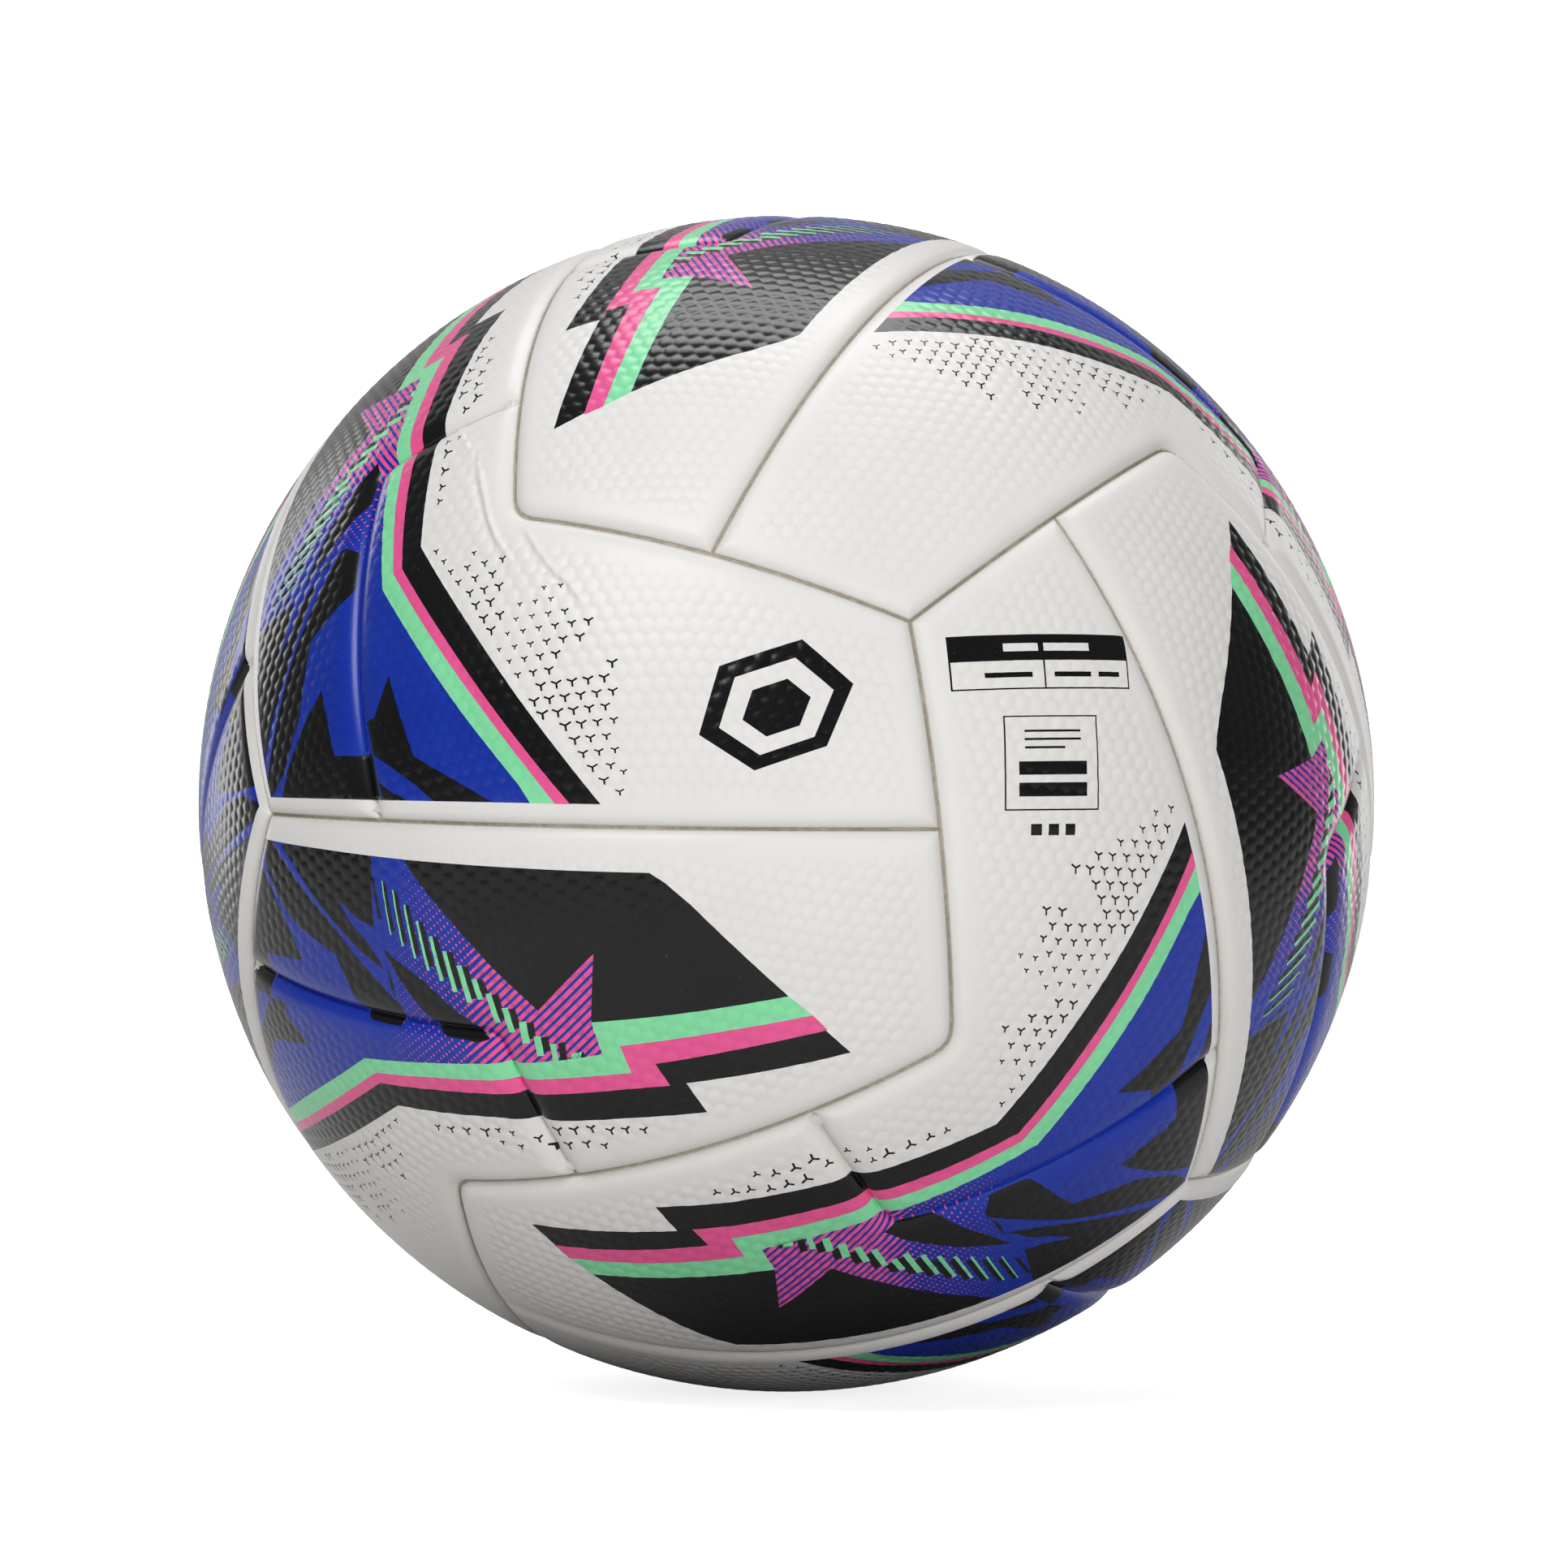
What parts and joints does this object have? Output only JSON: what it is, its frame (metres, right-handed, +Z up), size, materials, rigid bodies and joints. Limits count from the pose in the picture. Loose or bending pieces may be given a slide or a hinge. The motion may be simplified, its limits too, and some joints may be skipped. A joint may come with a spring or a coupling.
{
  "type": "soccer ball",
  "caption": "Round inflatable soccer ball with moulded, glued cover panels over foam, a wound carcass and a bladder, with a recessed needle valve for inflation.",
  "frame": {"origin": "centre of the ball, which is the centre of its box", "axes": "+Y along the needle passage, out through the cover; +Z up; +X completes a right-handed frame. The cover's seam pattern is turned so that the side facing -Y is the side away from the valve."},
  "size_m": [0.207, 0.2068, 0.207],
  "materials": {
    "cover_pu": "white polyurethane film with a fine domed emboss, soft sheen, printed with glossy ink",
    "foam": "matt closed-cell foam",
    "seam_glue": "dull hot-melt glue",
    "carcass_rubber": "matt rubber",
    "carcass_fabric": "wound polyester yarn in rubber",
    "bladder_rubber": "smooth butyl rubber",
    "valve_rubber": "moulded rubber",
    "valve_core_rubber": "soft silicone rubber"
  },
  "bodies": {
    "root": {"cover_panel_01": "cover_pu", "cover_panel_02": "cover_pu", "cover_panel_03": "cover_pu", "cover_panel_04": "cover_pu", "cover_panel_05": "cover_pu", "cover_panel_06": "cover_pu", "cover_panel_07": "cover_pu", "cover_panel_08": "cover_pu", "cover_panel_09": "cover_pu", "cover_panel_10": "cover_pu", "cover_panel_11": "cover_pu", "cover_panel_12": "cover_pu", "foam_pad_01": "foam", "foam_pad_02": "foam", "foam_pad_03": "foam", "foam_pad_04": "foam", "foam_pad_05": "foam", "foam_pad_06": "foam", "foam_pad_07": "foam", "foam_pad_08": "foam", "foam_pad_09": "foam", "foam_pad_10": "foam", "foam_pad_11": "foam", "foam_pad_12": "foam", "seam_adhesive": "seam_glue", "carcass_rubber": "carcass_rubber", "carcass_fabric": "carcass_fabric", "bladder": "bladder_rubber", "valve_patch": "bladder_rubber", "valve_housing": "valve_rubber", "valve_core": "valve_core_rubber"}
  },
  "joints": []
}
